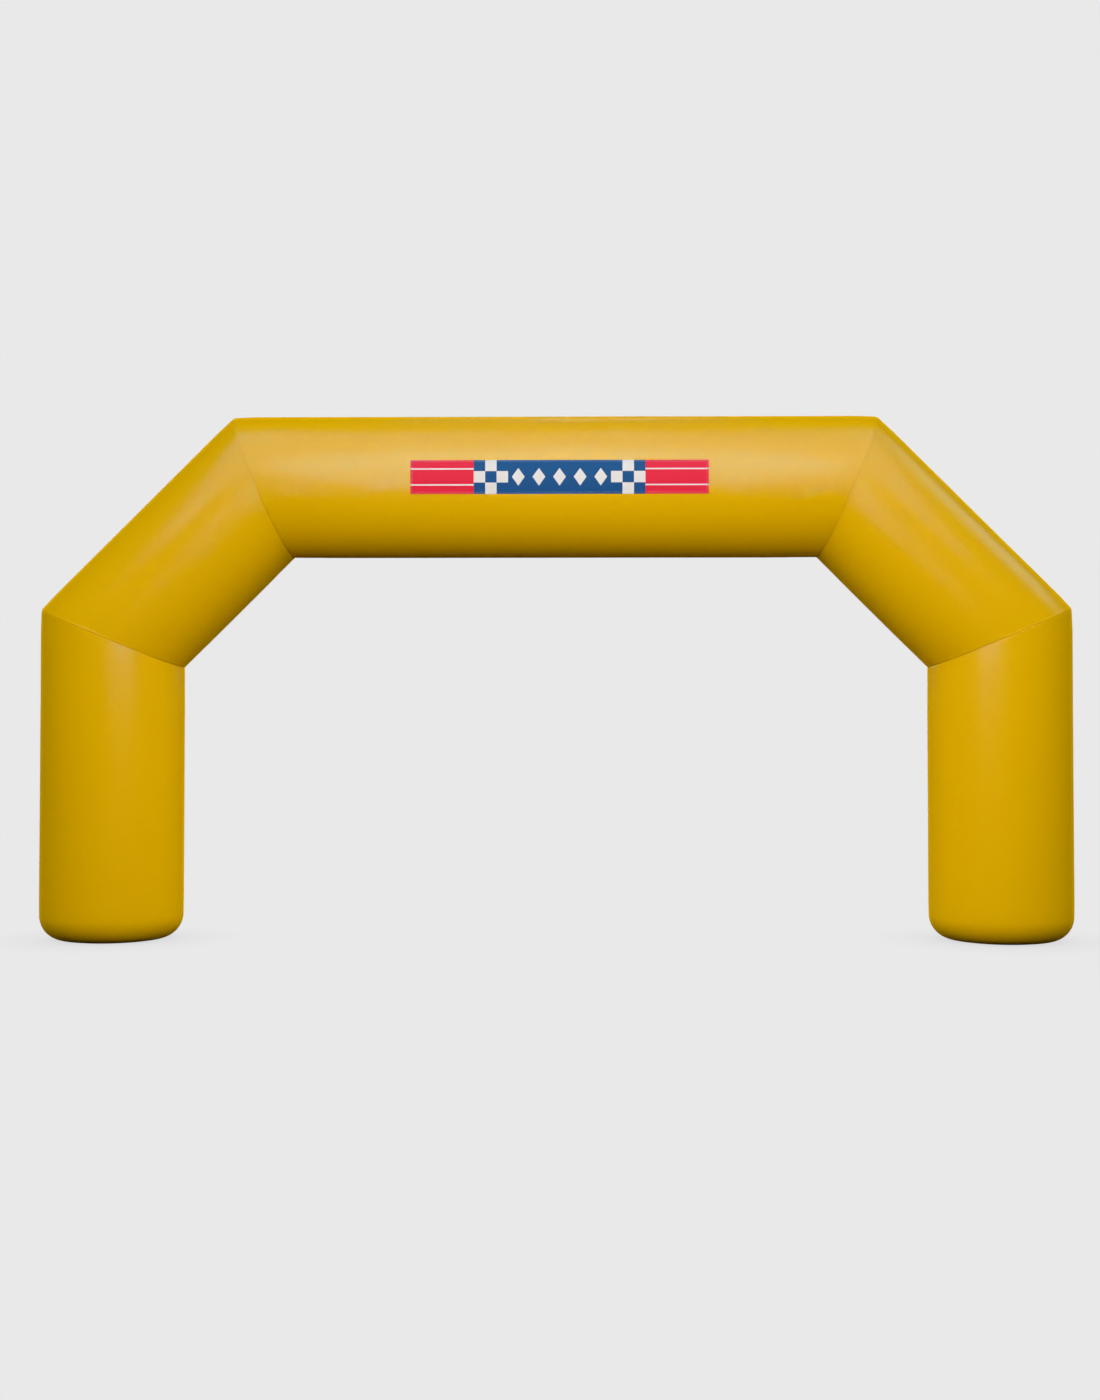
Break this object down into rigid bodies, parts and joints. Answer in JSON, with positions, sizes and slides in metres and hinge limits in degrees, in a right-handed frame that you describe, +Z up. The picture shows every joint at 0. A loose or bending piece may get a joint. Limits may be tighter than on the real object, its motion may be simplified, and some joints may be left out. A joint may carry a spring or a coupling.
{
  "type": "inflatable arch",
  "caption": "Free-standing blown-up cloth arch of round tube with mitred corners, broad round-edged feet and a thin banner across the front of its beam.",
  "frame": {"origin": "on the floor, midway between the two legs, under the middle of the beam", "axes": "+Z up; +X along the beam, to the right as seen from the front; the front, which carries the banner, faces -Y"},
  "size_m": [6, 0.8223, 3.05],
  "materials": {
    "tube_cloth": "satin, coated plain weave",
    "base_cloth": "matt, heavy coated weave",
    "banner_cloth": "satin woven polyester, printed"
  },
  "bodies": {
    "root": {"leg_left": "tube_cloth", "leg_right": "tube_cloth", "shoulder_left": "tube_cloth", "shoulder_right": "tube_cloth", "beam": "tube_cloth", "base_panel_left": "base_cloth", "base_panel_right": "base_cloth", "banner": "banner_cloth"}
  },
  "joints": []
}
